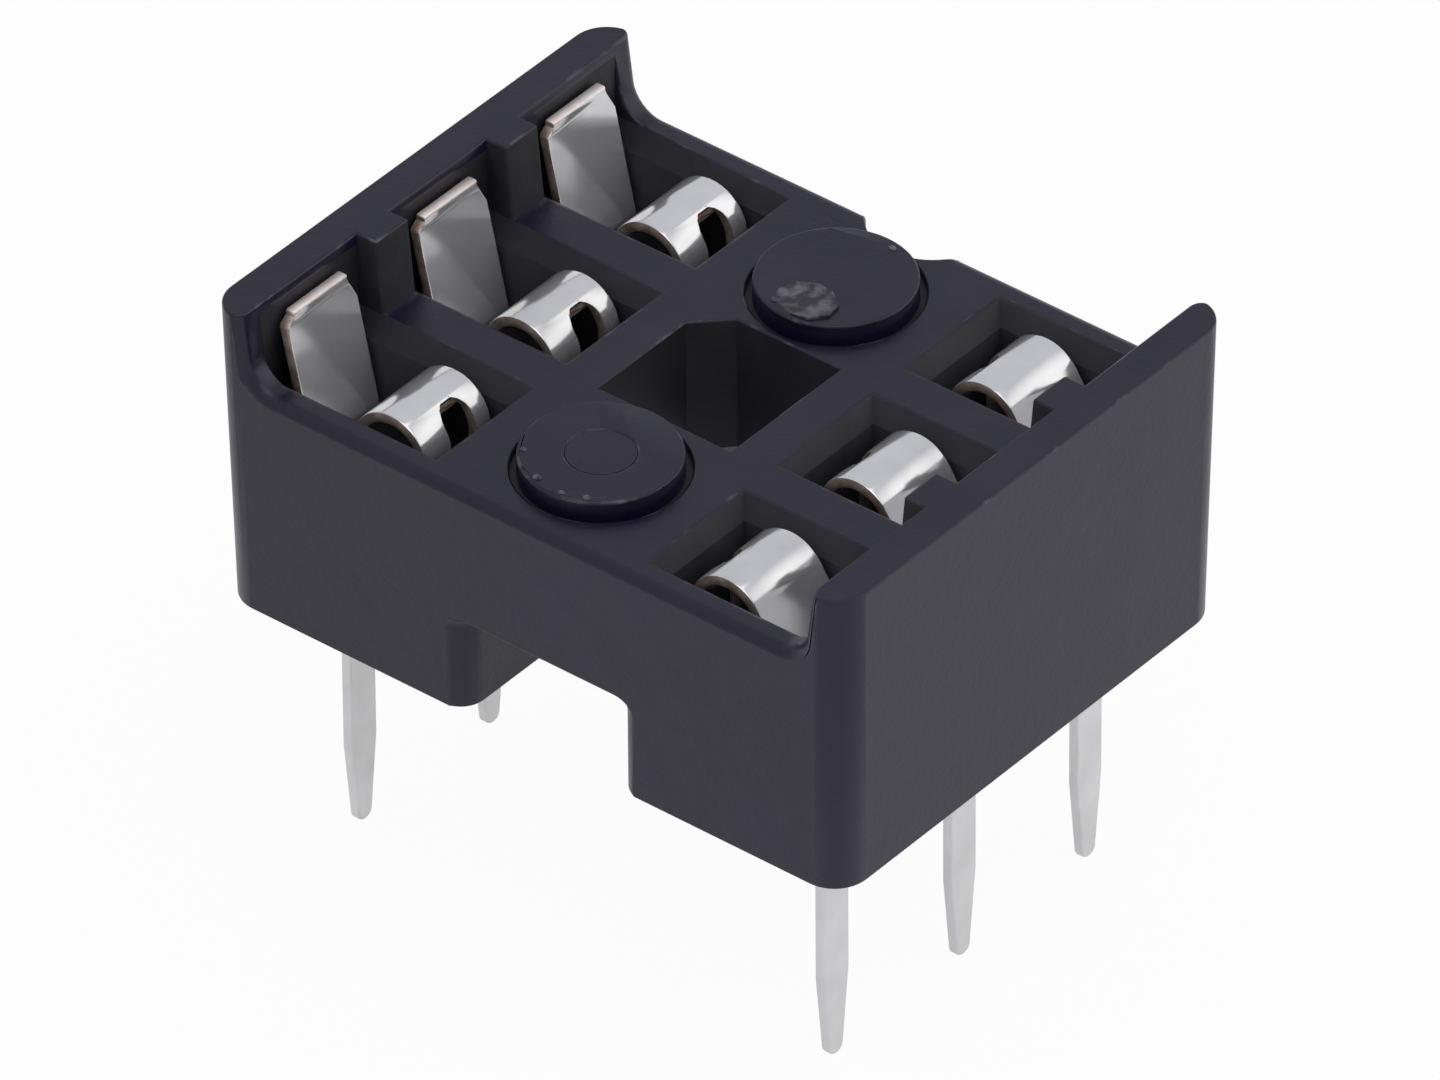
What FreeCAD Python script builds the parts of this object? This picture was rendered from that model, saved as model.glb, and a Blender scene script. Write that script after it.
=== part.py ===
import FreeCAD, Part
import math
import os

# Dip socket with two rows of dual-leaf contacts in one moulded housing, in millimetres.
# X runs across the rows and Y along them. Z is up, and Z = 0 is the board that it stands on.
# The origin lies midway between the two rows.

# Contact pattern
contacts_per_row = 3
pitch = 2.54
row_spacing = 7.62

# Housing heights
deck_height = 3.48
deck_edge_radius = 0.18
wall_height = 4.55
floor_thickness = 0.45
tunnel_height = 1.47

# Cavity around each contact, with its flared mouth
side_clearance = 0.06
leg_clearance = 0.22
cavity_outside = 0.69
mouth_flare = 0.21
mouth_depth = 0.25

# Walls of the housing
side_wall = 0.47
end_wall = 0.31
draft_angle = 1.0
corner_radius = 0.50
edge_bevel = 0.06
wall_land = 0.53
wall_slope = 0.14
wall_foot_radius = 0.30
guide_reach = 0.30
guide_slope = 0.12

# Tunnel under the housing, between the two feet
tunnel_width = 2.42
tunnel_offset = 0.20
tunnel_mouth_radius = 0.30
tunnel_roof_radius = 0.25

# Window in the middle of the deck, with one cut corner
window_width = 2.10
window_length = 2.16
window_corner = 0.45
window_corner_radius = 0.11

# Round pads that the chip rests on, each in a shallow moat
pad_diameter = 2.10
pad_rise = 0.22
moat_width = 0.09
moat_depth = 0.10
moat_margin = 0.10

# Orientation notch in the back end
notch_width = 1.50
notch_depth = 0.45

# Contact strip
strip_thickness = 0.15
strip_width = 1.36
fit_clearance = 0.05
leaf_top_drop = 0.24
tab_width = 1.04
tab_height = 0.10
tab_shoulder = 0.08
leaf_upright = 0.33
pinch_height = 2.35
pinch_gap = 0.20
leaf_foot_height = 1.15
base_bend_radius = 0.20
leaf_bend_radius = 0.35
leaf_knee_radius = 0.60
inner_leg_inset = 1.71
curl_radius = 0.505
curl_rise = 0.02
free_tip_height = 1.75
free_tip_in = 0.22

# Barbs on the strip that bite into the cavity sides
barb_low = 0.75
barb_high = 1.05
barb_land = 0.05
barb_root = 0.15

# Solder tail, lanced out of the strip
tail_width = 0.50
tail_length = 3.72
tail_taper = 1.25
tail_taper_radius = 0.62
tail_tip_width = 0.24
tail_tip_radius = 0.11
tail_bend_radius = 0.125
tail_shoulder_width = 0.62
tail_shoulder_drop = 0.12
slot_width = 0.48
slot_offset = 0.11
slot_top_drop = 0.07
slot_top_radius = 0.20
slit_clearance = 0.03
slit_flare = 0.12

# Places worked out from the sizes above
row_x = row_spacing / 2
rows_length = (contacts_per_row - 1) * pitch
cavity_width = strip_width + 2 * side_clearance
cavity_inner_x = row_x - inner_leg_inset - leg_clearance
cavity_outer_x = row_x + cavity_outside
mouth_width = cavity_width + 2 * mouth_flare
mouth_inner_x = cavity_inner_x - mouth_flare
half_width = cavity_outer_x + side_wall
half_length = (rows_length + mouth_width) / 2 + end_wall
pad_top = deck_height + pad_rise
pad_y = window_length / 2 + moat_margin + moat_width + pad_diameter / 2
half_strip = strip_thickness / 2
base_z = floor_thickness + half_strip
outer_leg_x = cavity_outer_x - fit_clearance - half_strip
inner_leg_x = row_x - inner_leg_inset + half_strip
curl_x = inner_leg_x + curl_radius
curl_top = deck_height + curl_rise
curl_z = curl_top - half_strip - curl_radius

# Distance that a cutting shape runs past the solid, and the shortest edge that is drawn
beyond = 1.0
shortest_edge = 1e-6


def flare_at(height):
    """How far a drafted outer face stands out at this height."""
    return height * math.tan(math.radians(draft_angle))


def flat(a, b, height):
    return FreeCAD.Vector(a, b, height)


def across(a, b, depth):
    return FreeCAD.Vector(a, depth, b)


def along(a, b, side):
    return FreeCAD.Vector(side, a, b)


def bend(before, corner, after, radius):
    """Start, middle and end of the arc that rounds one corner, with its centre."""
    back = FreeCAD.Vector(before[0] - corner[0], before[1] - corner[1], 0).normalize()
    ahead = FreeCAD.Vector(after[0] - corner[0], after[1] - corner[1], 0).normalize()
    half = back.getAngle(ahead) / 2
    reach = radius / math.tan(half)
    point = FreeCAD.Vector(corner[0], corner[1], 0)
    centre = point + (back + ahead).normalize() * (radius / math.sin(half))
    middle = centre + (point - centre).normalize() * radius
    return point + back * reach, middle, point + ahead * reach, centre


def rounded_face(corners, place, level):
    """Flat face through corners (a, b, radius), set on the plane that place gives."""
    count = len(corners)
    edges = []
    stops = []
    for index, (a, b, radius) in enumerate(corners):
        if radius:
            before = corners[index - 1]
            after = corners[(index + 1) % count]
            start, middle, end, centre = bend(before, (a, b), after, radius)
            start, middle, end = [place(p.x, p.y, level) for p in (start, middle, end)]
            edges.append(Part.Arc(start, middle, end).toShape())
            stops.append((start, end))
        else:
            edges.append(None)
            stops.append((place(a, b, level),) * 2)
    path = []
    for index in range(count):
        if edges[index]:
            path.append(edges[index])
        leave = stops[index][1]
        arrive = stops[(index + 1) % count][0]
        if leave.distanceToPoint(arrive) > shortest_edge:
            path.append(Part.makeLine(leave, arrive))
    return Part.Face(Part.Wire(path))


def rounded_block(half_x, half_y, radius, low, high, grow):
    """Block with rounded upright edges that grows outward by grow from low to high."""
    sections = []
    for level, extra in ((low, 0.0), (high, grow)):
        x = half_x + extra
        y = half_y + extra
        corners = [(-x, -y, radius), (x, -y, radius), (x, y, radius), (-x, y, radius)]
        sections.append(rounded_face(corners, flat, level).OuterWire)
    return Part.makeLoft(sections, True, True)


def box(x0, x1, y0, y1, z0, z1):
    return Part.makeBox(x1 - x0, y1 - y0, z1 - z0, FreeCAD.Vector(x0, y0, z0))


def mirrored(shape):
    """The same shape on the other side of the centre plane between the rows."""
    return shape.mirror(FreeCAD.Vector(0, 0, 0), FreeCAD.Vector(1, 0, 0))


def turned(shape):
    """The same shape turned by half a turn about the upright axis midway between the rows."""
    copy = shape.copy()
    copy.rotate(FreeCAD.Vector(0, 0, 0), FreeCAD.Vector(0, 0, 1), 180)
    return copy


def both_sides(shapes):
    return list(shapes) + [mirrored(shape) for shape in shapes]


def contact_rows_y():
    return [index * pitch - rows_length / 2 for index in range(contacts_per_row)]


def outer_block():
    """Drafted block of the housing with bevelled lower and upper rims."""
    low = rounded_block(half_width - edge_bevel, half_length - edge_bevel,
                        corner_radius - edge_bevel, 0, edge_bevel,
                        edge_bevel + flare_at(edge_bevel))
    body = rounded_block(half_width + flare_at(edge_bevel), half_length + flare_at(edge_bevel),
                         corner_radius, edge_bevel, wall_height - edge_bevel,
                         flare_at(wall_height - 2 * edge_bevel))
    rim = flare_at(wall_height - edge_bevel)
    high = rounded_block(half_width + rim, half_length + rim, corner_radius,
                         wall_height - edge_bevel, wall_height, -edge_bevel)
    return low.fuse([body, high]).removeSplitter()


def deck_channel():
    """Space between the two side walls, above the deck, open at both ends."""
    top_x = half_width + flare_at(wall_height) - wall_land
    low_x = top_x - wall_slope
    high = wall_height + beyond
    spread = top_x + wall_slope * beyond / (wall_height - deck_height)
    corners = [(-spread, high, 0), (-low_x, deck_height, wall_foot_radius),
               (low_x, deck_height, wall_foot_radius), (spread, high, 0)]
    reach = half_length + beyond
    face = rounded_face(corners, across, -reach)
    return face.extrude(FreeCAD.Vector(0, 2 * reach, 0))


def deck_edges():
    """Waste outside the rounded front and back edges of the deck, between the walls."""
    end = half_length + flare_at(deck_height)
    radius = deck_edge_radius
    reach = half_width - wall_land - wall_slope - wall_foot_radius
    base_y = end - radius
    wastes = []
    for facing in (-1, 1):
        near = min(facing * base_y, facing * (end + beyond))
        far = max(facing * base_y, facing * (end + beyond))
        block = box(-reach, reach, near, far, deck_height - radius, deck_height + beyond)
        round_edge = Part.makeCylinder(radius, 2 * reach,
                                       FreeCAD.Vector(-reach, facing * base_y, deck_height - radius),
                                       FreeCAD.Vector(1, 0, 0))
        wastes.append(block.cut(round_edge))
    return wastes


def lead_guides():
    """Upright guides on the side walls between neighbouring contacts."""
    rib = pitch - mouth_width
    top_x = cavity_outer_x - guide_reach
    root = cavity_outer_x + side_wall / 2
    corners = [(top_x, wall_height, 0), (top_x - guide_slope, deck_height - edge_bevel, 0),
               (root, deck_height - edge_bevel, 0), (root, wall_height, 0)]
    guides = []
    for y in contact_rows_y()[:-1]:
        face = rounded_face(corners, across, y + mouth_width / 2)
        guides.append(face.extrude(FreeCAD.Vector(0, rib, 0)))
    return both_sides(guides)


def cavities():
    """Open pocket for each contact, with a flared mouth and closed below by the floor."""
    neck = deck_height - mouth_depth
    low = cavity_width / 2
    high = mouth_width / 2
    pockets = []
    for y in contact_rows_y():
        pocket = box(cavity_inner_x, cavity_outer_x, y - low, y + low, floor_thickness, neck)
        above = box(mouth_inner_x, cavity_outer_x, y - high, y + high,
                    deck_height, wall_height + beyond)
        wires = []
        for inner, w, level in ((cavity_inner_x, low, neck), (mouth_inner_x, high, deck_height)):
            corners = [(inner, y - w, 0), (cavity_outer_x, y - w, 0),
                       (cavity_outer_x, y + w, 0), (inner, y + w, 0)]
            wires.append(rounded_face(corners, flat, level).OuterWire)
        mouth = Part.makeLoft(wires, True, True)
        pockets.append(pocket.fuse([mouth, above]).removeSplitter())
    return both_sides(pockets)


def tail_slits():
    """Slit through the floor for each solder tail, flared where it meets the board."""
    half_y = tail_shoulder_width / 2 + slit_clearance
    inner = row_x - half_strip - slit_clearance
    outer = row_x + tail_bend_radius + half_strip + slit_clearance
    middle_x = (inner + outer) / 2
    half_x = (outer - inner) / 2
    slits = []
    for y in contact_rows_y():
        hole = box(inner, outer, y - half_y, y + half_y, -beyond, floor_thickness + beyond)
        wires = []
        for level, extra in ((0.0, slit_flare), (slit_flare, 0.0)):
            x = half_x + extra
            w = half_y + extra
            mouth = rounded_face([(-x, -w, 0), (x, -w, 0), (x, w, 0), (-x, w, 0)], flat, level)
            wires.append(mouth.OuterWire)
        mouth = Part.makeLoft(wires, True, True)
        mouth.translate(FreeCAD.Vector(middle_x, y, 0))
        slits.append(hole.fuse(mouth))
    return both_sides(slits)


def tunnel():
    """Passage under the housing from end to end, with rounded mouths and roof corners."""
    left = tunnel_offset - tunnel_width / 2
    right = tunnel_offset + tunnel_width / 2
    reach = half_length + beyond
    corners = [(left, -beyond, 0), (left, tunnel_height, tunnel_roof_radius),
               (right, tunnel_height, tunnel_roof_radius), (right, -beyond, 0)]
    passage = rounded_face(corners, across, -reach).extrude(FreeCAD.Vector(0, 2 * reach, 0))
    mouths = []
    end = half_length + flare_at(tunnel_height / 2)
    radius = tunnel_mouth_radius
    for edge_x, side in ((left, -1), (right, 1)):
        for facing in (-1, 1):
            corner_x = edge_x + side * radius
            corner_y = facing * (end - radius)
            wedge = box(min(edge_x, corner_x), max(edge_x, corner_x),
                        min(corner_y, facing * reach), max(corner_y, facing * reach),
                        -beyond, tunnel_height - tunnel_roof_radius)
            round_off = Part.makeCylinder(radius, tunnel_height + beyond,
                                          FreeCAD.Vector(corner_x, corner_y, -beyond))
            mouths.append(wedge.cut(round_off))
    return passage.fuse(mouths)


def deck_window():
    """Hole through the deck into the tunnel, with one corner cut off."""
    x = window_width / 2
    y = window_length / 2
    corners = [(-x, -y, 0), (x, -y, 0), (x, y, 0),
               (window_corner - x, y, window_corner_radius),
               (-x, y - window_corner, window_corner_radius)]
    face = rounded_face(corners, flat, tunnel_height - beyond)
    return face.extrude(FreeCAD.Vector(0, 0, deck_height + beyond))


def moats():
    """Shallow round recesses that the chip pads stand in."""
    outer = pad_diameter / 2 + moat_width
    rings = []
    for y in (-pad_y, pad_y):
        base = FreeCAD.Vector(0, y, deck_height - moat_depth)
        rings.append(Part.makeCylinder(outer, moat_depth + beyond, base))
    return rings


def chip_pads():
    rounds = []
    for y in (-pad_y, pad_y):
        base = FreeCAD.Vector(0, y, (tunnel_height + deck_height) / 2)
        rounds.append(Part.makeCylinder(pad_diameter / 2, pad_top - base.z, base))
    return rounds


def orientation_notch():
    """Half-moon groove down the back end, from the deck to the tunnel."""
    end = half_length + flare_at(deck_height)
    radius = ((notch_width / 2) ** 2 + notch_depth ** 2) / (2 * notch_depth)
    base = FreeCAD.Vector(0, end - notch_depth + radius, tunnel_height / 2)
    return Part.makeCylinder(radius, wall_height, base)


def make_housing():
    shell = outer_block().cut([deck_channel()] + deck_edges())
    shell = shell.fuse(lead_guides())
    shell = shell.cut(moats())
    shell = shell.fuse(chip_pads())
    tools = cavities() + tail_slits() + [tunnel(), deck_window(), orientation_notch()]
    return shell.cut(tools).removeSplitter()


def strip_side(path, offset):
    """Points of the bent strip's section on one side of its middle line, an arc being three."""
    runs = []
    for index, (a, b, radius) in enumerate(path):
        ahead = path[min(index + 1, len(path) - 1)]
        behind = path[max(index - 1, 0)]
        if radius:
            start, middle, end, centre = bend(behind, (a, b), ahead, radius)
            turn = (a - behind[0]) * (ahead[1] - b) - (b - behind[1]) * (ahead[0] - a)
            arc_radius = radius - math.copysign(offset, offset * turn)
            runs.append([centre + (point - centre).normalize() * arc_radius
                         for point in (start, middle, end)])
        else:
            run = FreeCAD.Vector(ahead[0] - behind[0], ahead[1] - behind[1], 0).normalize()
            runs.append([FreeCAD.Vector(a - run.y * offset, b + run.x * offset, 0)])
    return runs


def strip_face(path, level):
    """Section of a bent strip along a middle line of points (x, z, bend radius)."""
    left = strip_side(path, half_strip)
    right = [run[::-1] for run in reversed(strip_side(path, -half_strip))]
    edges = []
    last = None
    for run in left + right + left[:1]:
        points = [across(point.x, point.y, level) for point in run]
        if last is not None and last.distanceToPoint(points[0]) > shortest_edge:
            edges.append(Part.makeLine(last, points[0]))
        if len(points) == 3:
            edges.append(Part.Arc(*points).toShape())
        last = points[-1]
    return Part.Face(Part.Wire(edges))


def strip_path():
    """Middle line of the contact strip, from the tab at the wall to the tip of the free leaf."""
    pinch_x = row_x + pinch_gap / 2 + half_strip
    free_x = row_x - pinch_gap / 2 - half_strip
    reach = math.hypot(free_x - curl_x, pinch_height - curl_z)
    facing = math.atan2(pinch_height - curl_z, free_x - curl_x)
    last_angle = facing + math.acos(curl_radius / reach)
    half_turn = (math.pi - last_angle) / 4
    corner_reach = curl_radius / math.cos(half_turn)
    curl = []
    for angle in (math.pi - half_turn, math.pi - 3 * half_turn):
        curl.append((curl_x + corner_reach * math.cos(angle),
                     curl_z + corner_reach * math.sin(angle), curl_radius))
    leaf_top = wall_height - leaf_top_drop
    return [
        (outer_leg_x, leaf_top, 0),
        (outer_leg_x, leaf_top - leaf_upright, leaf_knee_radius),
        (pinch_x, pinch_height, leaf_bend_radius),
        (outer_leg_x, leaf_foot_height, leaf_bend_radius),
        (outer_leg_x, base_z, base_bend_radius),
        (inner_leg_x, base_z, base_bend_radius),
        curl[0],
        curl[1],
        (free_x, pinch_height, leaf_bend_radius),
        (free_x - free_tip_in, free_tip_height, 0),
    ]


def lance_slot():
    """Opening that the solder tail leaves in the base, the inner leg and the curl."""
    low = -slot_offset - slot_width / 2
    high = -slot_offset + slot_width / 2
    bottom = base_z - strip_thickness
    top = curl_top - slot_top_drop
    leg = rounded_face([(low, bottom, 0), (high, bottom, 0),
                        (high, top, slot_top_radius), (low, top, slot_top_radius)],
                       along, inner_leg_x - beyond)
    outer_radius = curl_radius + half_strip
    end_x = curl_x - math.sqrt(outer_radius ** 2 - (top - curl_z) ** 2)
    leg = leg.extrude(FreeCAD.Vector(end_x - inner_leg_x + beyond, 0, 0))
    base = box(inner_leg_x, row_x + tail_bend_radius, low, high, bottom, base_z + strip_thickness)
    return leg.fuse(base)


def tab_corners():
    """Material cut away beside the narrow tab at the top of the outer leaf."""
    high = wall_height + beyond
    step = wall_height - leaf_top_drop - tab_height
    near = tab_width / 2
    far = strip_width / 2
    corners = []
    for side in (-1, 1):
        face = rounded_face([(side * near, high, 0), (side * near, step, 0),
                             (side * far, step - tab_shoulder, 0),
                             (side * (far + beyond), step - tab_shoulder, 0),
                             (side * (far + beyond), high, 0)], along, row_x)
        corners.append(face.extrude(FreeCAD.Vector(beyond, 0, 0)))
    return corners


def barbs():
    """Teeth on both edges of the outer leg that hold the contact in its cavity."""
    inside = strip_width / 2 - barb_root
    tip = cavity_width / 2
    teeth = []
    for side in (-1, 1):
        corners = [(side * inside, barb_low, 0), (side * tip, barb_high - barb_land, 0),
                   (side * tip, barb_high, 0), (side * inside, barb_high, 0)]
        tooth = rounded_face(corners, along, outer_leg_x - half_strip)
        teeth.append(tooth.extrude(FreeCAD.Vector(strip_thickness, 0, 0)))
    return teeth


def solder_tail():
    """Tail bent down out of the base, with a shoulder and a tapered, rounded tip."""
    root = [(row_x + 2 * tail_bend_radius, base_z, 0), (row_x, base_z, tail_bend_radius),
            (row_x, -tail_length, 0)]
    shank = strip_face(root, -strip_width / 2)
    shank = shank.extrude(FreeCAD.Vector(0, strip_width, 0))
    wide = tail_shoulder_width / 2
    slim = tail_width / 2
    tip = tail_tip_width / 2
    neck = -tail_shoulder_drop - (wide - slim)
    taper_z = tail_taper - tail_length
    top = base_z + beyond
    right = [(wide, top, 0), (wide, -tail_shoulder_drop, 0), (slim, neck, 0),
             (slim, taper_z, tail_taper_radius), (tip, -tail_length, tail_tip_radius)]
    left = [(-a, b, radius) for a, b, radius in reversed(right)]
    outline = rounded_face(right + left, along, row_x - beyond)
    outline = outline.extrude(FreeCAD.Vector(2 * beyond, 0, 0))
    return shank.common(outline)


def make_contact():
    """One stamped contact of the row on the +X side, centred on Y = 0."""
    section = strip_face(strip_path(), -strip_width / 2)
    strip = section.extrude(FreeCAD.Vector(0, strip_width, 0))
    strip = strip.cut([lance_slot()] + tab_corners())
    return strip.fuse(barbs() + [solder_tail()]).removeSplitter()


def export(shape, name):
    shape.exportStep(os.path.join("parts", name + ".step"))


os.makedirs("parts", exist_ok=True)
export(make_housing(), "housing")
right_contact = make_contact()
left_contact = turned(right_contact)
for number, y in enumerate(contact_rows_y(), start=1):
    for side, contact in (("left", left_contact), ("right", right_contact)):
        placed = contact.copy()
        placed.translate(FreeCAD.Vector(0, y, 0))
        export(placed, "contact_%s_%d" % (side, number))
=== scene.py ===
import math
import bmesh
import bpy
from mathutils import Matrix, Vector


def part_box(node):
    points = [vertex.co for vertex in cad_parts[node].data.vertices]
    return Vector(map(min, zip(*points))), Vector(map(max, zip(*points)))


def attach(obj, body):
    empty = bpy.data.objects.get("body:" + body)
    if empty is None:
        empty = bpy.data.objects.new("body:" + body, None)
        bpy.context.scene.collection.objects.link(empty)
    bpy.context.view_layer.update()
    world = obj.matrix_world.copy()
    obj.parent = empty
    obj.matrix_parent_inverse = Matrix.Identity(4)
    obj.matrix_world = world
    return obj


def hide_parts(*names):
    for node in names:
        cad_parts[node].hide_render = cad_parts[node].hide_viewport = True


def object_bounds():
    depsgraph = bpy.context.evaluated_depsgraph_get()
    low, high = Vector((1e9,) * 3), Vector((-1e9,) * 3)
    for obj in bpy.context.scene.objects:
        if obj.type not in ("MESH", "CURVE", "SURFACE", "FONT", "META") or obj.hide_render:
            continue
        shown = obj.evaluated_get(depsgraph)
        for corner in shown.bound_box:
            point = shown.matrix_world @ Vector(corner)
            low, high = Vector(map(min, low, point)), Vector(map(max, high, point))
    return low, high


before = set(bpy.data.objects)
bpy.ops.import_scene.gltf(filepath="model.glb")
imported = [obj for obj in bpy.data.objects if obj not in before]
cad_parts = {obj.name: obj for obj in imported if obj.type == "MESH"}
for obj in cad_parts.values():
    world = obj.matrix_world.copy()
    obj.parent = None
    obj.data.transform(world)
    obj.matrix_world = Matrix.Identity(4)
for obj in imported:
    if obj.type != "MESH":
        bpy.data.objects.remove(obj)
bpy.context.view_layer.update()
mm = 0.001
print("frame loaded")


# Small helpers for working in millimetres

def stopEditing():
    if bpy.context.mode != "OBJECT":
        bpy.ops.object.mode_set(mode="OBJECT")
    bpy.ops.object.select_all(action="DESELECT")


def workOn(piece):
    stopEditing()
    piece.select_set(True)
    bpy.context.view_layer.objects.active = piece


def settle(piece):  # leaves the object at the origin, with its place in its mesh
    workOn(piece)
    bpy.ops.object.transform_apply(location=True, rotation=True, scale=True)
    return piece


def nodeCorners(node):
    low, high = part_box(node)
    return low / mm, high / mm


def addBlock(name, low, high):
    stopEditing()
    middle = [(a + b) / 2 * mm for a, b in zip(low, high)]
    bpy.ops.mesh.primitive_cube_add(size=1, location=middle)
    piece = bpy.context.object
    piece.name = name
    piece.scale = [(b - a) * mm for a, b in zip(low, high)]
    return settle(piece)


def addRound(name, middle, radius, depth, turn=(0, 0, 0), sides=96):
    stopEditing()
    bpy.ops.mesh.primitive_cylinder_add(vertices=sides, radius=radius * mm, depth=depth * mm,
                                        location=[v * mm for v in middle], rotation=turn)
    piece = bpy.context.object
    piece.name = name
    return settle(piece)


def pickEdges(piece, test):  # goes into edit mode with the edges whose two ends pass the test
    workOn(piece)
    bpy.ops.object.mode_set(mode="EDIT")
    bpy.ops.mesh.select_mode(type="EDGE")
    bpy.ops.mesh.select_all(action="DESELECT")
    mesh = bmesh.from_edit_mesh(piece.data)
    for edge in mesh.edges:
        first, second = [vertex.co / mm for vertex in edge.verts]
        edge.select_set(bool(test(first, second)))
    bmesh.update_edit_mesh(piece.data)


def pickPoints(piece, test):
    workOn(piece)
    bpy.ops.object.mode_set(mode="EDIT")
    bpy.ops.mesh.select_mode(type="VERT")
    bpy.ops.mesh.select_all(action="DESELECT")
    mesh = bmesh.from_edit_mesh(piece.data)
    for vertex in mesh.verts:
        vertex.select_set(bool(test(vertex.co / mm)))
    mesh.select_flush(True)
    bmesh.update_edit_mesh(piece.data)


def roundEdges(piece, test, radius, segments):
    pickEdges(piece, test)
    bpy.ops.mesh.bevel(offset=radius * mm, segments=segments, affect="EDGES")
    stopEditing()


def combine(piece, tools, how):
    for tool in tools:
        modifier = piece.modifiers.new(how, "BOOLEAN")
        modifier.operation = how
        modifier.solver = "EXACT"
        modifier.material_mode = "TRANSFER"
        modifier.object = tool
        workOn(piece)
        bpy.ops.object.modifier_apply(modifier=how)
        bpy.data.objects.remove(tool)


def copyOf(piece, name, shift=(0, 0, 0)):
    twin = piece.copy()
    twin.data = piece.data.copy()
    twin.name = name
    bpy.context.scene.collection.objects.link(twin)
    twin.location = [v * mm for v in shift]
    return settle(twin)


def turnAround(piece):  # by half a turn about the upright axis midway between the rows
    workOn(piece)
    piece.rotation_euler.z = math.pi
    return settle(piece)


def mirrorAcross(piece):  # to the other side of the centre plane between the rows
    piece.scale.x = -1
    settle(piece)
    bpy.ops.object.mode_set(mode="EDIT")
    bpy.ops.mesh.select_all(action="SELECT")
    bpy.ops.mesh.normals_make_consistent(inside=False)
    stopEditing()
    return piece


def softenSharpEdges(piece, radius, segments, limit=40, spare=None):  # rounds what sticks out, marks the narrow rounds for the edge tint: wear, and on the plastic also a painted highlight
    workOn(piece)
    bpy.ops.object.mode_set(mode="EDIT")
    bpy.ops.mesh.select_all(action="SELECT")
    bpy.ops.mesh.remove_doubles(threshold=0.002 * mm)
    bpy.ops.mesh.dissolve_limited(angle_limit=math.radians(0.5))
    bpy.ops.mesh.select_mode(type="EDGE")
    bpy.ops.mesh.select_all(action="DESELECT")
    torn = piece.data.materials.find(scuffed.name)
    mesh = bmesh.from_edit_mesh(piece.data)
    for edge in mesh.edges:
        sharp = len(edge.link_faces) == 2 and edge.calc_face_angle() > math.radians(limit)
        whole = all(face.material_index != torn for face in edge.link_faces)
        spared = spare and all(spare(vertex.co / mm) for vertex in edge.verts)
        edge.select_set(sharp and edge.is_convex and whole and not spared)
    bmesh.update_edit_mesh(piece.data)
    bpy.ops.mesh.bevel(offset=radius * mm, segments=segments, affect="EDGES", clamp_overlap=False)
    mesh = bmesh.from_edit_mesh(piece.data)
    edgeTinted = mesh.faces.layers.float.new("edgeTinted")
    for face in mesh.faces:
        narrow = len(face.verts) == 4 and min(edge.calc_length() for edge in face.edges) < 1.2 * radius * mm
        face[edgeTinted] = float(face.select and narrow)
    bmesh.update_edit_mesh(piece.data)
    stopEditing()


def smooth(piece, angle=30):
    workOn(piece)
    bpy.ops.object.shade_smooth_by_angle(angle=math.radians(angle))
    modifier = piece.modifiers.new("faces", "WEIGHTED_NORMAL")
    modifier.keep_sharp = True
    modifier.weight = 100
    bpy.ops.object.modifier_apply(modifier="faces")


# The pattern of the contacts, as the frame has it

frontLow, frontHigh = nodeCorners("contact_right_1")
backLow, backHigh = nodeCorners("contact_right_3")
pitch = (backLow.y - frontLow.y) / 2
rowX = 3.81
rowYs = [-pitch, 0, pitch]
bodyLow, bodyHigh = nodeCorners("housing")


# Housing, one black moulding

housing = {
    "deck": 3.48,
    "floor": 0.45,
    "draft": 1.0,
    "cornerRadius": 0.50,
    "wallLand": 0.53,
    "wallSlope": 0.14,
    "wallFoot": 0.40,
    "mouthWidth": 1.90,
    "mouthInside": 2.14,
    "mouthFlare": 0.21,
    "mouthDepth": 0.25,
    "neckWidth": 1.42,
    "cavityOutside": 0.69,
    "guideReach": 0.30,
    "guideSlope": 0.12,
    "tunnelWidth": 2.42,
    "tunnelOffset": 0.20,
    "tunnelHeight": 1.47,
    "tunnelMouth": 0.36,
    "tunnelRoof": 0.25,
    "windowWidth": 2.10,
    "windowLength": 2.16,
    "windowCorner": 0.45,
    "padWidth": 2.10,
    "padRise": 0.22,
    "padY": 2.32,
    "moatWidth": 0.09,
    "moatDepth": 0.10,
    "notchWidth": 1.50,
    "notchDepth": 0.45,
    "deckEdge": 0.18,
    "wallEndRound": 0.14,
    "edgeRound": 0.035,
}
beyond = 1.0


def flare(height):  # how far the drafted outside stands out at a height
    return height * math.tan(math.radians(housing["draft"]))


def outerBlock():
    h = housing
    block = addBlock("housing", bodyLow, bodyHigh)
    shrinkX = 1 - flare(bodyHigh.z) / bodyHigh.x
    shrinkY = 1 - flare(bodyHigh.z) / bodyHigh.y
    pickPoints(block, lambda p: p.z < 1)
    bpy.ops.transform.resize(value=(shrinkX, shrinkY, 1), center_override=(0, 0, 0))
    roundEdges(block, lambda a, b: abs(a.z - b.z) > 1, h["cornerRadius"], 12)
    return block


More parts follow.
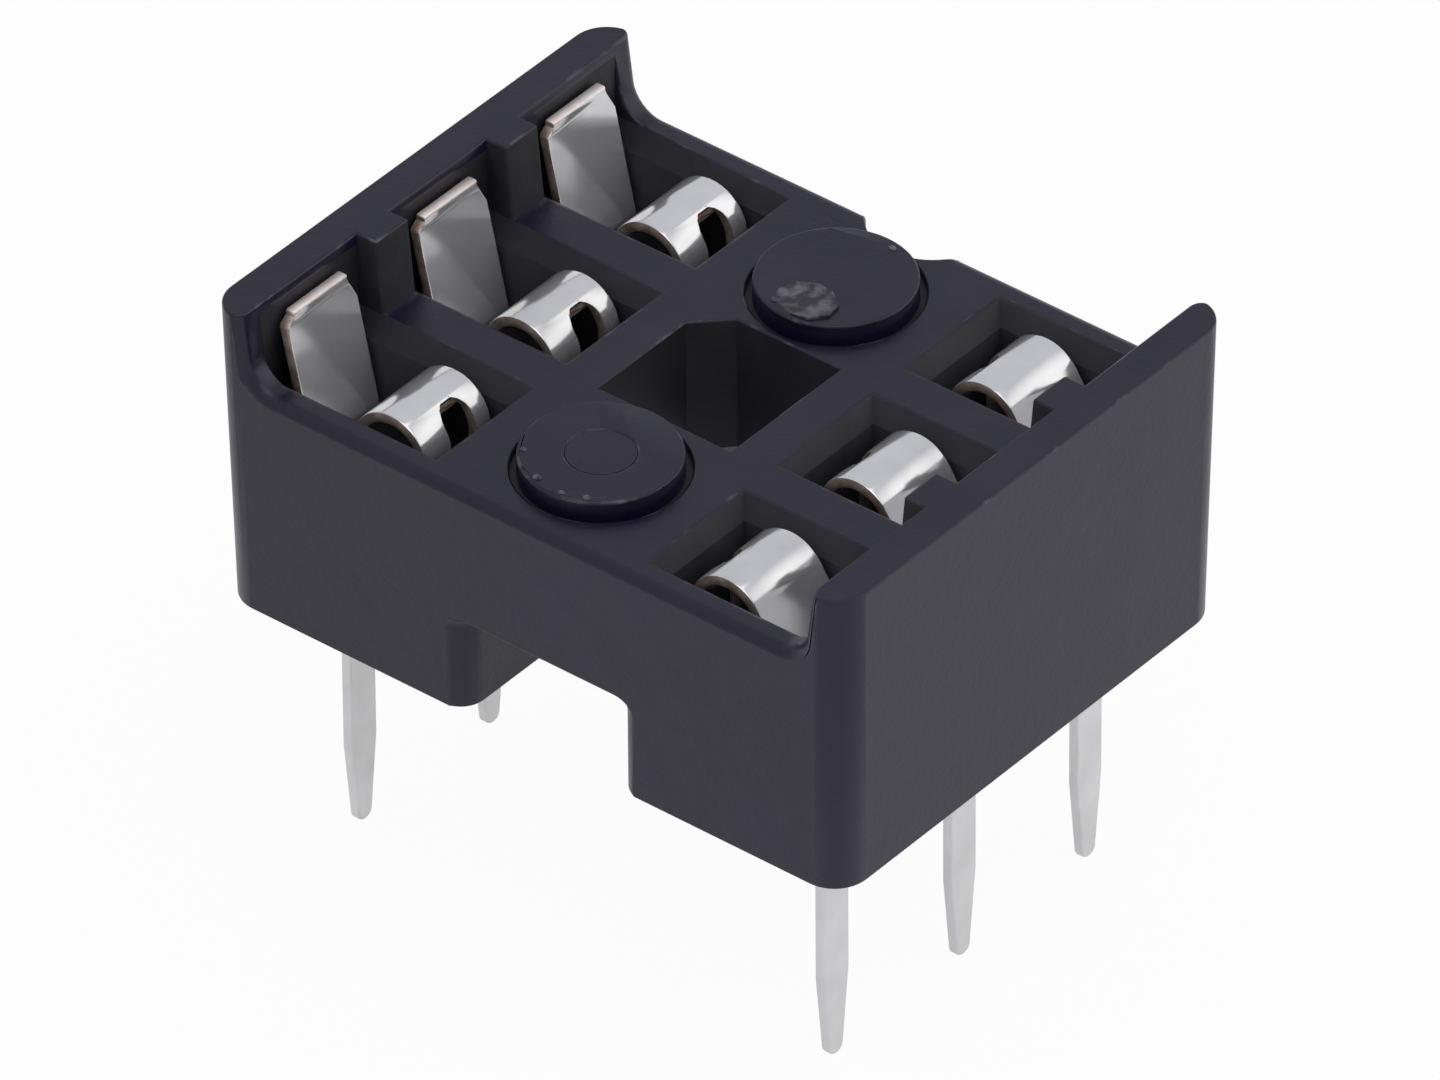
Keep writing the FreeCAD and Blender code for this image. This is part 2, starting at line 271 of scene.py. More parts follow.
def deckChannel():  # the space over the deck, between the side walls, opening out at its two ends
    h = housing
    topX = bodyHigh.x - h["wallLand"]
    lowX = topX - h["wallSlope"]
    top = bodyHigh.z + beyond
    end = bodyHigh.y - flare(bodyHigh.z - h["deck"])
    lastAngle = math.radians(75)
    reach = end - h["deckEdge"] * math.sin(lastAngle)
    channel = addBlock("channel", (-lowX, -reach, h["deck"]), (lowX, reach, top))
    spread = 1 + h["wallSlope"] * (top - h["deck"]) / (bodyHigh.z - h["deck"]) / lowX
    pickPoints(channel, lambda p: p.z > top - 0.1)
    bpy.ops.transform.resize(value=(spread, 1, 1), center_override=(0, 0, 0))
    roundEdges(channel, lambda a, b: a.z < h["deck"] + 0.1 and b.z < h["deck"] + 0.1
               and abs(a.y - b.y) > 1, h["wallFoot"], 8)
    steps = 6
    for facing in (-1, 1):
        pickPoints(channel, lambda p: p.y * facing > reach - 0.01)
        sizeX, sizeZ, sizeY = 1, 1, 0
        for number in range(1, steps + 1):
            angle = lastAngle * number / steps
            out = 1 - math.cos(angle)
            newX = 1 + h["wallEndRound"] * out / lowX
            newZ = 1 + h["deckEdge"] * out / (top - h["deck"])
            newY = h["deckEdge"] * math.sin(angle)
            move = (0, facing * (newY - sizeY) * mm, 0)
            bpy.ops.mesh.extrude_region_move(TRANSFORM_OT_translate={"value": move})
            bpy.ops.transform.resize(value=(newX / sizeX, 1, newZ / sizeZ), center_override=(0, 0, top * mm))
            sizeX, sizeZ, sizeY = newX, newZ, newY
        bpy.ops.mesh.extrude_region_move(TRANSFORM_OT_translate={"value": (0, facing * mm, 0)})
    stopEditing()
    return channel


def shade(tool, lower, upper=None, height=0):  # one finish, or one below a height and one above
    tool.data.materials.append(lower)
    if upper:
        tool.data.materials.append(upper)
        for face in tool.data.polygons:
            face.material_index = int(face.center.z / mm > height)
    return tool


def leadGuides():
    h = housing
    guides = []
    cavityX = rowX + h["cavityOutside"]
    for side in (-1, 1):
        for y in rowYs[:-1]:
            low = (cavityX - h["guideReach"], y + h["mouthWidth"] / 2, h["deck"] - 0.1)
            high = (cavityX + 0.2, y + pitch - h["mouthWidth"] / 2, bodyHigh.z)
            guide = addBlock("guide", low, high)
            pickPoints(guide, lambda p: p.z < h["deck"] and p.x < cavityX)
            bpy.ops.transform.translate(value=(-h["guideSlope"] * mm, 0, 0))
            stopEditing()
            # the guide's sides take the greyer, less glossy copy: painted shade tone
            shade(guide, paintedShadePlastic, plastic, bodyHigh.z - 0.1)
            guides.append(guide if side == 1 else mirrorAcross(guide))
    return guides


def pocketAt(y):  # straight below, flared at its mouth and open above
    h = housing
    outer = rowX + h["cavityOutside"]
    inner = rowX - h["mouthInside"]
    narrow = h["neckWidth"] / 2
    neck = h["deck"] - h["mouthDepth"]
    pocket = addBlock("pocket", (inner + h["mouthFlare"], y - narrow, h["floor"]),
                      (outer, y + narrow, neck))
    pickPoints(pocket, lambda p: p.z > neck - 0.01)
    bpy.ops.mesh.extrude_region_move(TRANSFORM_OT_translate={"value": (0, 0, h["mouthDepth"] * mm)})
    spreadX = (outer - inner) / (outer - inner - h["mouthFlare"])
    spreadY = h["mouthWidth"] / h["neckWidth"]
    bpy.ops.transform.resize(value=(spreadX, spreadY, 1), center_override=(outer * mm, y * mm, 0))
    bpy.ops.mesh.extrude_region_move(TRANSFORM_OT_translate={"value": (0, 0, 2 * mm)})
    stopEditing()
    # below the neck the walls take the lightened copy, painted light; the mouth takes the greyer dull copy, painted
    # shade tone
    return shade(pocket, pocketLitPlastic, paintedShadePlastic, neck)


def cavities():
    tools = []
    for side in (-1, 1):
        for y in rowYs:
            slit = addBlock("slit", (rowX - 0.105, y - 0.34, -beyond), (rowX + 0.23, y + 0.34, beyond))
            for tool in (pocketAt(y), slit):
                tools.append(tool if side == 1 else mirrorAcross(tool))
    return tools


def tunnel():
    h = housing
    left = h["tunnelOffset"] - h["tunnelWidth"] / 2
    right = left + h["tunnelWidth"]
    flat = bodyHigh.y - flare(bodyHigh.z) - h["tunnelMouth"]
    tool = addBlock("tunnel", (left, -flat, -beyond), (right, flat, h["tunnelHeight"]))
    roundEdges(tool, lambda a, b: a.z > 0 and b.z > 0 and abs(a.y - b.y) > 1, h["tunnelRoof"], 8)
    middle = (left + right) / 2
    steps = 6
    lastAngle = math.radians(62)
    past = 0.15
    for facing in (-1, 1):
        pickPoints(tool, lambda p: p.y * facing > flat - 0.01)
        sizeX, sizeY = 1, 0
        for number in range(1, steps + 1):
            angle = lastAngle * number / steps
            newX = 1 + h["tunnelMouth"] * (1 - math.cos(angle)) / (h["tunnelWidth"] / 2)
            newY = h["tunnelMouth"] * math.sin(angle)
            move = (0, facing * (newY - sizeY) * mm, 0)
            bpy.ops.mesh.extrude_region_move(TRANSFORM_OT_translate={"value": move})
            bpy.ops.transform.resize(value=(newX / sizeX, 1, 1), center_override=(middle * mm, 0, 0))
            sizeX, sizeY = newX, newY
        bpy.ops.mesh.extrude_region_move(TRANSFORM_OT_translate={"value": (0, facing * past * mm, 0)})
        newX = sizeX + past * math.tan(lastAngle) / (h["tunnelWidth"] / 2)
        bpy.ops.transform.resize(value=(newX / sizeX, 1, 1), center_override=(middle * mm, 0, 0))
    stopEditing()
    return tool


def deckWindow():
    h = housing
    x = h["windowWidth"] / 2
    y = h["windowLength"] / 2
    tool = addBlock("window", (-x, -y, h["tunnelHeight"] - beyond), (x, y, h["deck"] + beyond))
    roundEdges(tool, lambda a, b: abs(a.z - b.z) > 1 and a.x < 0 and a.y > 0, h["windowCorner"], 1)
    # the window walls take the greyer, less glossy copy: painted shade tone
    return shade(tool, paintedShadePlastic)


def padShapes(grow, low, high):
    h = housing
    radius = h["padWidth"] / 2 + grow
    return [addRound("pad", (0, y, (low + high) / 2), radius, high - low, sides=96)
            for y in (-h["padY"], h["padY"])]


def backNotch():
    h = housing
    end = bodyHigh.y - flare(bodyHigh.z - h["deck"])
    radius = ((h["notchWidth"] / 2) ** 2 + h["notchDepth"] ** 2) / (2 * h["notchDepth"])
    low = h["tunnelHeight"] / 2
    return addRound("notch", (0, end - h["notchDepth"] + radius, low + 2.5), radius, 5, sides=96)


moulding = {
    "scarPlace": (0.02, 1.68),
    "scarSize": (0.46, 0.36),
    "scarHeight": 0.035,
    "ringWidth": 0.90,
    "ringDepth": 0.010,
    "specks": (
        (0.15, -3.27, 3.70, 0.035), (0.46, -3.16, 3.70, 0.045), (-0.28, -3.22, 3.70, 0.05),
        (-0.78, -2.88, 3.70, 0.04), (-0.30, 1.46, 3.70, 0.05), (0.18, 3.22, 3.70, 0.045)),
}


def smallMarks():  # the torn gate and loose burrs
    m = moulding
    marks = []
    x, y = m["scarPlace"]
    padTop = housing["deck"] + housing["padRise"]
    scar = addRound("scar", (0, 0, padTop), 1, 2 * m["scarHeight"], turn=(0, 0, 0.3), sides=9)
    pickPoints(scar, lambda p: True)
    bpy.ops.transform.resize(value=(m["scarSize"][0], m["scarSize"][1], 1), center_override=(0, 0, 0))
    bpy.ops.transform.translate(value=(x * mm, y * mm, 0))
    pickPoints(scar, lambda p: p.z > padTop and p.x < x)
    bpy.ops.transform.translate(value=(0.05 * mm, 0.03 * mm, -0.4 * m["scarHeight"] * mm))
    stopEditing()
    marks.append(scar)
    for x, y, z, size in m["specks"]:
        stopEditing()
        bpy.ops.mesh.primitive_ico_sphere_add(subdivisions=2, radius=size * mm, location=(x * mm, y * mm, z * mm),
                                              rotation=(x, y, 0))
        speck = bpy.context.object
        settle(speck)
        pickPoints(speck, lambda p: True)
        bpy.ops.transform.resize(value=(1.3, 1, 0.7), center_override=(x * mm, y * mm, z * mm))
        stopEditing()
        marks.append(speck)
    for mark in marks:
        mark.data.materials.append(scuffed)
    return marks


def makeHousing():
    h = housing
    body = outerBlock()
    body.data.materials.append(plastic)
    combine(body, [deckChannel()], "DIFFERENCE")
    combine(body, leadGuides(), "UNION")
    moats = padShapes(h["moatWidth"], h["deck"] - h["moatDepth"], h["deck"] + beyond)
    # the moats take the greyer, less glossy copy: painted shade tone
    combine(body, [shade(moat, paintedShadePlastic) for moat in moats], "DIFFERENCE")
    combine(body, padShapes(0, h["deck"] - 1, h["deck"] + h["padRise"]), "UNION")
    combine(body, cavities() + [tunnel(), deckWindow(), backNotch()], "DIFFERENCE")
    ring = addRound("ring", (0, -h["padY"], h["deck"] + h["padRise"]), moulding["ringWidth"] / 2,
                    2 * moulding["ringDepth"])
    combine(body, [ring], "DIFFERENCE")
    combine(body, smallMarks(), "UNION")
    moatFloor = h["deck"] - h["moatDepth"]
    softenSharpEdges(body, h["edgeRound"], 3, limit=45, spare=lambda p: abs(p.z - moatFloor) < 0.01)
    smooth(body)
    return body


# Contact, one stamped and bent strip with the tail lanced out of it

contact = {
    "thickness": 0.15,
    "width": 1.30,
    "tabWidth": 1.04,
    "tabHeight": 0.07,
    "tabShoulders": (0.30, 0.10),
    "topDrop": 0.28,
    "upright": 0.15,
    "pinchHeight": 2.35,
    "pinchGap": 0.20,
    "footHeight": 1.15,
    "legClearance": 0.05,
    "legInset": 1.71,
    "baseBend": 0.20,
    "leafBend": 0.35,
    "kneeBend": 0.35,
    "curlWidth": 1.26,
    "curlRadius": 0.505,
    "curlRise": 0.02,
    "freeTipHeight": 1.75,
    "freeTipIn": 0.22,
    "slotWidth": 0.48,
    "slotOffset": 0.11,
    "slotTop": 3.43,
    "slotRound": 0.20,
    "tailWidth": 0.50,
    "tailLength": 3.72,
    "tailTaper": 1.25,
    "tailTip": 0.24,
    "tailBend": 0.125,
    "edgeRound": 0.028,
}


def bentPath(corners, step=10):  # points along straight runs joined by tangent arcs, step in degrees
    points = []
    for index, (x, z, radius) in enumerate(corners):
        here = Vector((x, z))
        if not radius:
            points.append(here)
            continue
        back = (Vector(corners[index - 1][:2]) - here).normalized()
        ahead = (Vector(corners[index + 1][:2]) - here).normalized()
        half = back.angle(ahead) / 2
        middle = here + (back + ahead).normalized() * radius / math.sin(half)
        start = here + back * radius / math.tan(half) - middle
        turn = math.pi - 2 * half
        if back.x * ahead.y - back.y * ahead.x > 0:
            turn = -turn
        count = max(2, math.ceil(abs(math.degrees(turn)) / step))
        for number in range(count + 1):
            angle = turn * number / count
            point = middle + Vector((start.x * math.cos(angle) - start.y * math.sin(angle),
                                     start.x * math.sin(angle) + start.y * math.cos(angle)))
            if not points or (point - points[-1]).length > 0.001:
                points.append(point)
    return points


def bendStrip(name, corners, width, thickness):  # one edge, extruded along the path and thickened
    points = bentPath(corners)
    stopEditing()
    bpy.ops.mesh.primitive_plane_add(size=1, location=(points[0].x * mm, 0, points[0].y * mm))
    strip = bpy.context.object
    strip.name = name
    strip.scale = (mm * 0.01, width * mm, 1)
    settle(strip)
    pickPoints(strip, lambda p: p.x < points[0].x)
    bpy.ops.mesh.delete(type="VERT")
    bpy.ops.mesh.select_all(action="SELECT")
    bpy.ops.transform.translate(value=(-0.005 * mm, 0, 0))
    for before, after in zip(points, points[1:]):
        move = (after - before) * mm
        bpy.ops.mesh.extrude_region_move(TRANSFORM_OT_translate={"value": (move.x, 0, move.y)})
    bpy.ops.mesh.select_all(action="SELECT")
    bpy.ops.mesh.normals_make_consistent(inside=False)
    stopEditing()
    modifier = strip.modifiers.new("thickness", "SOLIDIFY")
    modifier.thickness = thickness * mm
    modifier.offset = 0
    modifier.use_even_offset = True
    # the rim faces, the strip's sheared sides, take the darkened bare copper: painted shade
    modifier.material_offset_rim = 1
    workOn(strip)
    strip.data.materials.append(plated)
    strip.data.materials.append(shadedBareEdge)
    bpy.ops.object.modifier_apply(modifier="thickness")
    return strip


def curlCentre():
    c = contact
    half = c["thickness"] / 2
    return (rowX - c["legInset"] + half + c["curlRadius"],
            housing["deck"] + c["curlRise"] - half - c["curlRadius"])


def contactPath():
    c = contact
    half = c["thickness"] / 2
    baseZ = housing["floor"] + half
    outerX = rowX + housing["cavityOutside"] - c["legClearance"] - half
    curlX, curlZ = curlCentre()
    innerX = curlX - c["curlRadius"]
    pinchX = rowX + c["pinchGap"] / 2 + half
    freeX = rowX - c["pinchGap"] / 2 - half
    reach = math.hypot(freeX - curlX, c["pinchHeight"] - curlZ)
    facing = math.atan2(c["pinchHeight"] - curlZ, freeX - curlX)
    lastAngle = facing + math.acos(c["curlRadius"] / reach)
    part = (math.pi - lastAngle) / 4
    out = c["curlRadius"] / math.cos(part)
    curl = [(curlX + out * math.cos(math.pi - part * n), curlZ + out * math.sin(math.pi - part * n),
             c["curlRadius"]) for n in (1, 3)]
    top = bodyHigh.z - c["topDrop"]
    return [
        (outerX, top, 0),
        (outerX, top - c["upright"], c["kneeBend"]),
        (pinchX, c["pinchHeight"], c["leafBend"]),
        (outerX, c["footHeight"], c["leafBend"]),
        (outerX, baseZ, c["baseBend"]),
        (innerX, baseZ, c["baseBend"]),
        curl[0],
        curl[1],
        (freeX, c["pinchHeight"], c["leafBend"]),
        (freeX - c["freeTipIn"], c["freeTipHeight"], 0),
    ]


def makeTail():
    c = contact
    baseZ = housing["floor"] + c["thickness"] / 2
    tail = bendStrip("tail", [(rowX + 2 * c["tailBend"], baseZ, 0), (rowX, baseZ, c["tailBend"]),
                              (rowX, c["tailTaper"] - c["tailLength"], 0), (rowX, -c["tailLength"], 0)],
                     c["tailWidth"], c["thickness"])
    pickPoints(tail, lambda p: p.z < 0.01 - c["tailLength"])
    bpy.ops.transform.resize(value=(1, c["tailTip"] / c["tailWidth"], 1), center_override=(rowX * mm, 0, 0))
    stopEditing()
    roundEdges(tail, lambda a, b: max(a.z, b.z) < 0.01 - c["tailLength"] and abs(a.x - b.x) > 0.1, 0.10, 4)
    for face in tail.data.polygons:
        face.material_index = 0
    return tail


def makeContact():
    c = contact
    strip = bendStrip("contact", contactPath(), c["width"], c["thickness"])
    pickPoints(strip, lambda p: p.x < rowX - 0.05)
    bpy.ops.transform.resize(value=(1, c["curlWidth"] / c["width"], 1), center_override=(0, 0, 0))
    stopEditing()
    low = -c["slotOffset"] - c["slotWidth"] / 2
    high = -c["slotOffset"] + c["slotWidth"] / 2
    curlX, curlZ = curlCentre()
    innerX = curlX - c["curlRadius"]
    endX = curlX - math.sqrt((c["curlRadius"] + c["thickness"] / 2) ** 2 - (c["slotTop"] - curlZ) ** 2)
    slot = addBlock("slot", (innerX - 0.5, low, 0.3), (endX, high, c["slotTop"]))
    roundEdges(slot, lambda a, b: min(a.z, b.z) > 1 and abs(a.x - b.x) > 0.1, c["slotRound"], 8)
    baseSlot = addBlock("baseSlot", (innerX, low, 0.3), (rowX + c["tailBend"], high, 0.9))
    tools = [slot, baseSlot]
    step = bodyHigh.z - c["topDrop"] - c["tabHeight"]
    for s, shoulder in zip((-1, 1), c["tabShoulders"]):
        ends = sorted((s * c["tabWidth"] / 2, s * (c["width"] / 2 + 0.3)))
        side = addBlock("side", (rowX, ends[0], step), (rowX + 2, ends[1], 6))
        pickPoints(side, lambda p: p.z < 5 and abs(p.y) > c["width"] / 2)
        drop = shoulder * (ends[1] - ends[0]) / ((c["width"] - c["tabWidth"]) / 2)
        bpy.ops.transform.translate(value=(0, 0, -drop * mm))
        tools.append(side)
    stopEditing()
    # the cut faces of the slot and the tab shoulders take the darkened bare copper: painted shade
    for tool in tools:
        tool.data.materials.append(shadedBareEdge)
    combine(strip, tools, "DIFFERENCE")
    tail = makeTail()
    workOn(strip)
    tail.select_set(True)
    bpy.ops.object.join()
    softenSharpEdges(strip, c["edgeRound"], 2)
    strip.data.materials.append(litCutEnd)
    # the up-facing faces at the top of the tab get the near-white copy of the bare copper: painted highlight
    top = bodyHigh.z - c["topDrop"] - 1.5 * c["edgeRound"]
    for face in strip.data.polygons:
        if face.center.z / mm > top and face.normal.z > 0.3:
            face.material_index = 2
    smooth(strip, 35)
    return strip


# Finishes

def newMaterial(name):
    material = bpy.data.materials.new(name)
    material.use_nodes = True
    return material, material.node_tree.nodes, material.node_tree.links


def newGroup(name, inputs, output):  # an effect that several finishes share
    group = bpy.data.node_groups.new(name, "ShaderNodeTree")
    for label, kind, value in inputs:
        socket = group.interface.new_socket(name=label, in_out="INPUT", socket_type=kind)
        socket.default_value = value
    group.interface.new_socket(name=output, in_out="OUTPUT", socket_type="NodeSocketFloat")
    enter = group.nodes.new("NodeGroupInput")
    leave = group.nodes.new("NodeGroupOutput")
    return group, group.nodes, group.links, enter, leave


def makeGrain():  # noise on the piece's own coordinates
    group, nodes, links, enter, leave = newGroup("grain", [
        ("Scale", "NodeSocketFloat", 1.0), ("Detail", "NodeSocketFloat", 3.0),
        ("Stretch", "NodeSocketVector", (1, 1, 1))], "Tone")
    place = nodes.new("ShaderNodeTexCoord")
    mapping = nodes.new("ShaderNodeMapping")
    noise = nodes.new("ShaderNodeTexNoise")
    perMetre = nodes.new("ShaderNodeMath")
    perMetre.operation = "DIVIDE"
    perMetre.inputs[1].default_value = mm
    links.new(enter.outputs["Scale"], perMetre.inputs[0])
    links.new(place.outputs["Object"], mapping.inputs["Vector"])
    links.new(enter.outputs["Stretch"], mapping.inputs["Scale"])
    links.new(mapping.outputs["Vector"], noise.inputs["Vector"])
    links.new(perMetre.outputs["Value"], noise.inputs["Scale"])
    links.new(enter.outputs["Detail"], noise.inputs["Detail"])
    links.new(noise.outputs["Fac"], leave.inputs["Tone"])
    return group


def makeEdgeWearAndSheen():  # patches along the softened edges: where the finish has been scuffed, and on the plastic also a painted highlight
    group, nodes, links, enter, leave = newGroup("edgeWearAndSheen", [
        ("Scale", "NodeSocketFloat", 2.5), ("From", "NodeSocketFloat", 0.42),
        ("Full", "NodeSocketFloat", 0.68), ("Amount", "NodeSocketFloat", 0.8)], "Mask")
    edgeTinted = nodes.new("ShaderNodeAttribute")
    edgeTinted.attribute_name = "edgeTinted"
    patches = nodes.new("ShaderNodeGroup")
    patches.node_tree = grain
    patches.inputs["Detail"].default_value = 5
    spread = nodes.new("ShaderNodeMapRange")
    share = nodes.new("ShaderNodeMath")
    share.operation = "MULTIPLY"
    links.new(enter.outputs["Scale"], patches.inputs["Scale"])
    links.new(patches.outputs["Tone"], spread.inputs["Value"])
    links.new(enter.outputs["From"], spread.inputs["From Min"])
    links.new(enter.outputs["Full"], spread.inputs["From Max"])
    links.new(enter.outputs["Amount"], spread.inputs["To Max"])
    links.new(edgeTinted.outputs["Fac"], share.inputs[0])
    links.new(spread.outputs["Result"], share.inputs[1])
    links.new(share.outputs["Value"], leave.inputs["Mask"])
    return group


def grainNode(nodes, scale, detail, stretch=(1, 1, 1)):
    node = nodes.new("ShaderNodeGroup")
    node.node_tree = grain
    node.inputs["Scale"].default_value = scale
    node.inputs["Detail"].default_value = detail
    node.inputs["Stretch"].default_value = stretch
    return node.outputs["Tone"]


def wearAndSheenNode(nodes, scale, start, full, amount):
    node = nodes.new("ShaderNodeGroup")
    node.node_tree = edgeWearAndSheen
    for name, value in (("Scale", scale), ("From", start), ("Full", full), ("Amount", amount)):
        node.inputs[name].default_value = value
    return node.outputs["Mask"]


def tintNode(nodes, links, mask, under, over):  # blends a colour over another where the mask is
    mix = nodes.new("ShaderNodeMix")
    mix.data_type = "RGBA"
    links.new(mask, mix.inputs["Factor"])
    links.new(under, mix.inputs[6])
    mix.inputs[7].default_value = over
    return mix.outputs[2]


def rampNode(nodes, links, source, stops):
    ramp = nodes.new("ShaderNodeValToRGB")
    ramp.color_ramp.elements[0].position = stops[0][0]
    ramp.color_ramp.elements[0].color = stops[0][1]
    ramp.color_ramp.elements[1].position = stops[1][0]
    ramp.color_ramp.elements[1].color = stops[1][1]
    links.new(source, ramp.inputs["Fac"])
    return ramp


def rangeNode(nodes, links, source, low, high, toLow, toHigh):
    node = nodes.new("ShaderNodeMapRange")
    node.inputs["From Min"].default_value = low
    node.inputs["From Max"].default_value = high
    node.inputs["To Min"].default_value = toLow
    node.inputs["To Max"].default_value = toHigh
    links.new(source, node.inputs["Value"])
    return node


def bumpNode(nodes, links, height, strength, distance, before=None):
    node = nodes.new("ShaderNodeBump")
    node.inputs["Strength"].default_value = strength
    node.inputs["Distance"].default_value = distance * mm
    links.new(height, node.inputs["Height"])
    if before:
        links.new(before.outputs["Normal"], node.inputs["Normal"])
    return node


def makePlastic():
    material, nodes, links = newMaterial("blackPlastic")
    shader = nodes["Principled BSDF"]
    shader.inputs["IOR"].default_value = 1.5
    shader.inputs["Specular IOR Level"].default_value = 0.42
    tone = grainNode(nodes, 0.6, 4)
    colour = rampNode(nodes, links, tone,
                      [(0.35, (0.0072, 0.0052, 0.0185, 1)), (0.65, (0.0100, 0.0076, 0.0235, 1))])
    # light grey tint on the plastic's softened edges: partly scuffing, partly painted highlight
    rubAndSheen = wearAndSheenNode(nodes, 2.5, 0.56, 0.72, 0.9)
    edgeTinted = tintNode(nodes, links, rubAndSheen, colour.outputs["Color"], (0.085, 0.083, 0.095, 1))
    links.new(edgeTinted, shader.inputs["Base Color"])
    rough = rangeNode(nodes, links, tone, 0.3, 0.7, 0.28, 0.36)
    links.new(rough.outputs["Result"], shader.inputs["Roughness"])
    waveBump = bumpNode(nodes, links, grainNode(nodes, 1.2, 3), 0.35, 0.02)
    grainBump = bumpNode(nodes, links, grainNode(nodes, 14, 6), 0.5, 0.006, waveBump)
    links.new(grainBump.outputs["Normal"], shader.inputs["Normal"])
    return material


def makeScuffed():  # torn and whitened plastic
    material, nodes, links = newMaterial("scuffedPlastic")
    shader = nodes["Principled BSDF"]
    shader.inputs["Specular IOR Level"].default_value = 0.4
    colour = rampNode(nodes, links, grainNode(nodes, 5, 4),
                      [(0.4, (0.020, 0.019, 0.026, 1)), (0.62, (0.120, 0.118, 0.130, 1))])
    links.new(colour.outputs["Color"], shader.inputs["Base Color"])
    shader.inputs["Roughness"].default_value = 0.5
    grainBump = bumpNode(nodes, links, grainNode(nodes, 9, 5), 0.7, 0.02)
    links.new(grainBump.outputs["Normal"], shader.inputs["Normal"])
    return material


def makePaintedTonePlastic(name, dark, light):  # copies of the same plastic for the openings, duller and with their own colour: painted light and shade tone in the recesses
    material, nodes, links = newMaterial(name)
    shader = nodes["Principled BSDF"]
    shader.inputs["IOR"].default_value = 1.5
    shader.inputs["Specular IOR Level"].default_value = 0.25
    colour = rampNode(nodes, links, grainNode(nodes, 1.1, 4),
                      [(0.35, (dark, 0.95 * dark, 1.12 * dark, 1)), (0.65, (light, 0.95 * light, 1.12 * light, 1))])
    links.new(colour.outputs["Color"], shader.inputs["Base Color"])
    shader.inputs["Roughness"].default_value = 0.5
    grainBump = bumpNode(nodes, links, grainNode(nodes, 10, 5), 0.5, 0.008)
    links.new(grainBump.outputs["Normal"], shader.inputs["Normal"])
    return material


def makePlated():
    material, nodes, links = newMaterial("tinPlate")
    shader = nodes["Principled BSDF"]
    shader.inputs["Metallic"].default_value = 0.76
    cloud = grainNode(nodes, 1.6, 5)
    colour = rampNode(nodes, links, cloud,
                      [(0.3, (0.70, 0.69, 0.69, 1)), (0.7, (0.80, 0.79, 0.79, 1))])
    rubAndSheen = wearAndSheenNode(nodes, 1.5, 0.50, 0.75, 0.5)
    edgeTinted = tintNode(nodes, links, rubAndSheen, colour.outputs["Color"], (0.62, 0.50, 0.42, 1))
    links.new(edgeTinted, shader.inputs["Base Color"])
    rough = rangeNode(nodes, links, cloud, 0.3, 0.7, 0.20, 0.13)
    links.new(rough.outputs["Result"], shader.inputs["Roughness"])
    linesBump = bumpNode(nodes, links, grainNode(nodes, 9, 3, stretch=(1, 5, 1)), 0.2, 0.0007)
    links.new(linesBump.outputs["Normal"], shader.inputs["Normal"])
    return material


def makeShadedBareEdge():
    material, nodes, links = newMaterial("shadedBareCopper")
    shader = nodes["Principled BSDF"]
    shader.inputs["Metallic"].default_value = 0.6
    # bare copper colour, darkened as painted shade, since the sheared sides stand in shadow
    colour = rampNode(nodes, links, grainNode(nodes, 6, 4),
                      [(0.35, (0.34, 0.24, 0.18, 1)), (0.65, (0.56, 0.46, 0.40, 1))])
    links.new(colour.outputs["Color"], shader.inputs["Base Color"])
    shader.inputs["Roughness"].default_value = 0.42
    linesBump = bumpNode(nodes, links, grainNode(nodes, 10, 3), 0.5, 0.008)
    links.new(linesBump.outputs["Normal"], shader.inputs["Normal"])
    return material


def makeLitCutEnd():  # the sheared end of the tab, matt, its colour raised to near white as a painted highlight where it faces up to the light
    material, nodes, links = newMaterial("litCutEnd")
    shader = nodes["Principled BSDF"]
    shader.inputs["Metallic"].default_value = 1
    # near-white colour: painted highlight on the up-facing cut end
    colour = rampNode(nodes, links, grainNode(nodes, 5, 4),
                      [(0.35, (0.98, 0.84, 0.77, 1)), (0.65, (1.0, 0.96, 0.93, 1))])
    links.new(colour.outputs["Color"], shader.inputs["Base Color"])
    shader.inputs["Roughness"].default_value = 0.55
    linesBump = bumpNode(nodes, links, grainNode(nodes, 12, 3), 0.4, 0.004)
    links.new(linesBump.outputs["Normal"], shader.inputs["Normal"])
    return material


grain = makeGrain()
edgeWearAndSheen = makeEdgeWearAndSheen()
plastic = makePlastic()
# much lighter than the outer plastic: painted light standing in for the light that reaches the deep pocket walls
pocketLitPlastic = makePaintedTonePlastic("pocketLitPlastic", 0.034, 0.050)
# greyer, less glossy copy for the mouths, guide sides, window and moats: painted shade tone
paintedShadePlastic = makePaintedTonePlastic("paintedShadePlastic", 0.0180, 0.0260)
scuffed = makeScuffed()
plated = makePlated()
shadedBareEdge = makeShadedBareEdge()
litCutEnd = makeLitCutEnd()
print("finishes made")

body = makeHousing()
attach(body, "root")
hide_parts("housing")
print("housing modelled,", len(body.data.polygons), "faces")

rightContact = makeContact()
for side, word in ((1, "right"), (-1, "left")):
    for number, y in enumerate(rowYs, start=1):
        node = "contact_%s_%d" % (word, number)
        piece = copyOf(rightContact, "socket_" + node)
        if side == -1:
            turnAround(piece)
        piece.location.y = y * mm
        settle(piece)
        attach(piece, "root")
        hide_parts(node)
bpy.data.objects.remove(rightContact)
print("contacts modelled")


# Floor, light and camera

studio = {
    "floorSize": 400,
    "worldStrength": 1.30,
    "brightSide": (0.70, 0.62, 0.36),
    "keyPower": 0.026,
    "cameraAzimuth": 39.2176,
    "cameraElevation": 37.2383,
    "cameraRoll": -0.4312,
    "cameraDistance": 274.217,
    "aimHeight": 2.0,
    "aimDown": 0.8346,
    "lens": 550.52,
}


